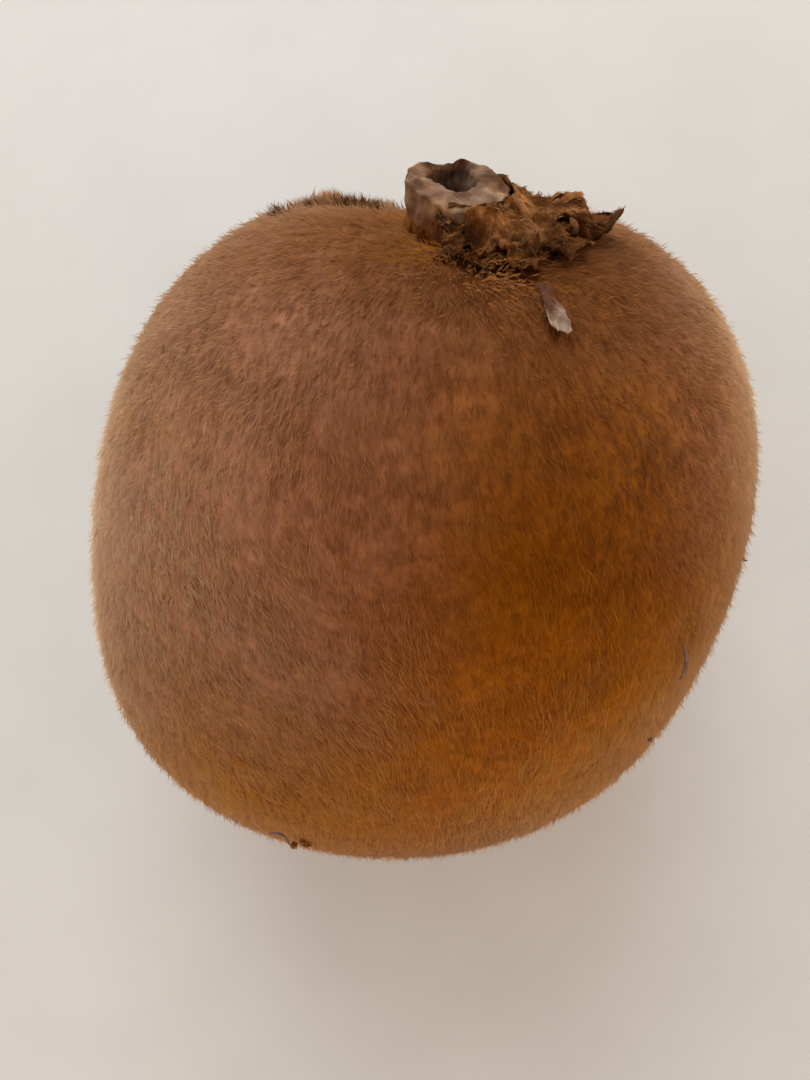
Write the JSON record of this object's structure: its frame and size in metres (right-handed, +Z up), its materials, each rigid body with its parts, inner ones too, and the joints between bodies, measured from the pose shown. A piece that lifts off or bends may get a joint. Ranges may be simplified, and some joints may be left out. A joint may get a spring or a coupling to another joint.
{
  "type": "kiwi fruit",
  "caption": "Whole brown fuzzy kiwi fruit, ripe, with a woody stalk stub and withered sepals, resting on a small flat spot.",
  "frame": {"origin": "the point of the flat rest spot straight below the middle of the fruit", "axes": "+Z up; the core rises 44 degrees above the table, and its stem end points towards +Y, turned 12 degrees towards +X"},
  "size_m": [0.0571, 0.0596, 0.0561],
  "materials": {
    "skin": "matt brown skin with short tan fuzz",
    "stalk": "dry grey-brown wood",
    "sepal": "withered, matt dark brown",
    "petal": "dry, pale and papery",
    "dry_style": "dry, almost black"
  },
  "bodies": {
    "root": {"fruit": "skin", "stem_stub": "stalk", "sepal_1": "sepal", "sepal_2": "sepal", "sepal_3": "sepal", "sepal_4": "sepal", "sepal_5": "sepal", "style_tuft": "dry_style", "petal_scrap": "petal", "dried_curl": "dry_style"}
  },
  "joints": []
}
